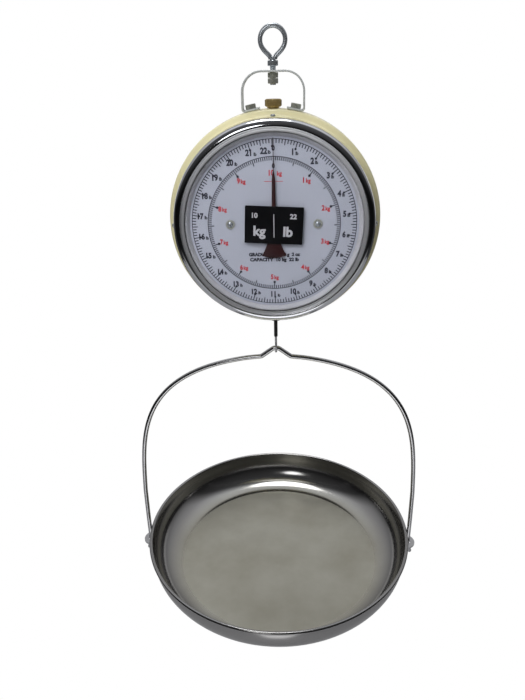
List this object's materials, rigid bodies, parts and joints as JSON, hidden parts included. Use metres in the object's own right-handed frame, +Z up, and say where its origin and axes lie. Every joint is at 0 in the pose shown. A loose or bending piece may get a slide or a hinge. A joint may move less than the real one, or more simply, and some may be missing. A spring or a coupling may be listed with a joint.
{
  "type": "hanging dial scale",
  "caption": "Hanging dial scale: an eye bolt and strap carry a round drum with a double-ring dial and pointer, and a spring-loaded hook below carries a wire bail and a round pan.",
  "frame": {"origin": "inside top of the eye, where the scale hangs", "axes": "+Z up, the dial faces -Y, +X to the reader's right"},
  "size_m": [0.372, 0.347, 0.651],
  "materials": {
    "cream_paint": "smooth enamel",
    "chrome": "polished",
    "stainless": "satin floor, polished wall",
    "zinc": "zinc plated, slightly dull",
    "strap_paint": "pale grey paint",
    "brass": "turned, dulled",
    "spring_steel": "plain",
    "dial_white": "printed satin enamel",
    "black_plastic": "matt",
    "pointer_red": "dark red enamel",
    "rubber": "matt",
    "glass": "clear"
  },
  "bodies": {
    "suspension": {"eye_bolt": "zinc", "jam_nut": "zinc", "retaining_nut": "zinc", "lock_nut": "zinc"},
    "housing": {"hanging_strap": "strap_paint", "strap_bolt_right": "zinc", "strap_bolt_left": "zinc", "strap_nut_right": "zinc", "strap_nut_left": "zinc", "drum_housing": "cream_paint", "bezel_ring": "chrome", "bezel_screw_top": "zinc", "bezel_screw_right": "zinc", "bezel_screw_bottom": "zinc", "bezel_screw_left": "zinc", "lens": "glass", "lens_gasket": "rubber", "dial_surround": "dial_white", "dial_plate": "dial_white", "dial_screw_right": "zinc", "dial_screw_left": "zinc", "dial_post_right": "zinc", "dial_post_left": "zinc", "name_plate": "black_plastic", "chassis_front_plate": "zinc", "chassis_back_plate": "zinc", "chassis_pillar_1": "zinc", "chassis_pillar_2": "zinc", "chassis_pillar_3": "zinc", "chassis_pillar_4": "zinc", "arbor_bush_front": "brass", "arbor_bush_back": "brass", "zero_bush": "brass", "zero_bush_nut": "zinc", "guide_bush": "black_plastic", "guide_bush_nut": "zinc", "load_spring_right": "spring_steel", "load_spring_left": "spring_steel"},
    "zero_knob": {"zero_knob": "brass"},
    "spring_yoke": {"spring_yoke": "spring_steel"},
    "pointer": {"pointer": "pointer_red", "pointer_hub": "brass", "pointer_arbor": "spring_steel", "pinion_gear": "brass"},
    "carriage": {"load_crossbar": "spring_steel", "rack_bar": "brass", "rack_screw": "zinc"},
    "hook": {"load_hook": "chrome", "hook_sleeve": "black_plastic", "hook_nut": "zinc"},
    "bail": {"bail": "chrome"},
    "pan": {"weighing_pan": "stainless", "pan_ear_right": "stainless", "pan_ear_left": "stainless"}
  },
  "joints": [
    {"name": "eye_swivel", "type": "hinge", "parent": "suspension", "child": "housing", "pos_m": [0, 0, -0.0359], "axis": [0, 0, 1], "continuous": true},
    {"name": "zero_turn", "type": "hinge", "parent": "housing", "child": "zero_knob", "pos_m": [0, 0, -0.0704], "axis": [0, 0, 1], "range_deg": [-180, 180]},
    {"name": "yoke_slide", "type": "slide", "parent": "housing", "child": "spring_yoke", "axis": [0, 0, 1], "range_m": [-0.0005, 0.0005]},
    {"name": "load_slide", "type": "slide", "parent": "housing", "child": "carriage", "axis": [0, 0, -1], "range_m": [0, 0.0314], "stiffness_N_per_m": 3123, "springref_m": -0.0058, "deforming": ["load_spring_right", "load_spring_left"]},
    {"name": "pointer_turn", "type": "hinge", "parent": "housing", "child": "pointer", "pos_m": [0, 0, -0.1814], "axis": [0, 1, 0], "range_deg": [0, 360]},
    {"name": "hook_swivel", "type": "hinge", "parent": "carriage", "child": "hook", "pos_m": [0, 0, -0.2304], "axis": [0, 0, 1], "continuous": true},
    {"name": "bail_tilt", "type": "hinge", "parent": "hook", "child": "bail", "pos_m": [0, 0, -0.3315], "axis": [1, 0, 0], "range_deg": [-30, 30]},
    {"name": "pan_tilt", "type": "hinge", "parent": "bail", "child": "pan", "pos_m": [0, 0, -0.6232], "axis": [1, 0, 0], "range_deg": [-30, 30]}
  ],
  "couplings": [
    {"joint": "zero_turn", "follows": "yoke_slide", "rad_per_m": -6283.2},
    {"joint": "pointer_turn", "follows": "load_slide", "rad_per_m": 200}
  ]
}
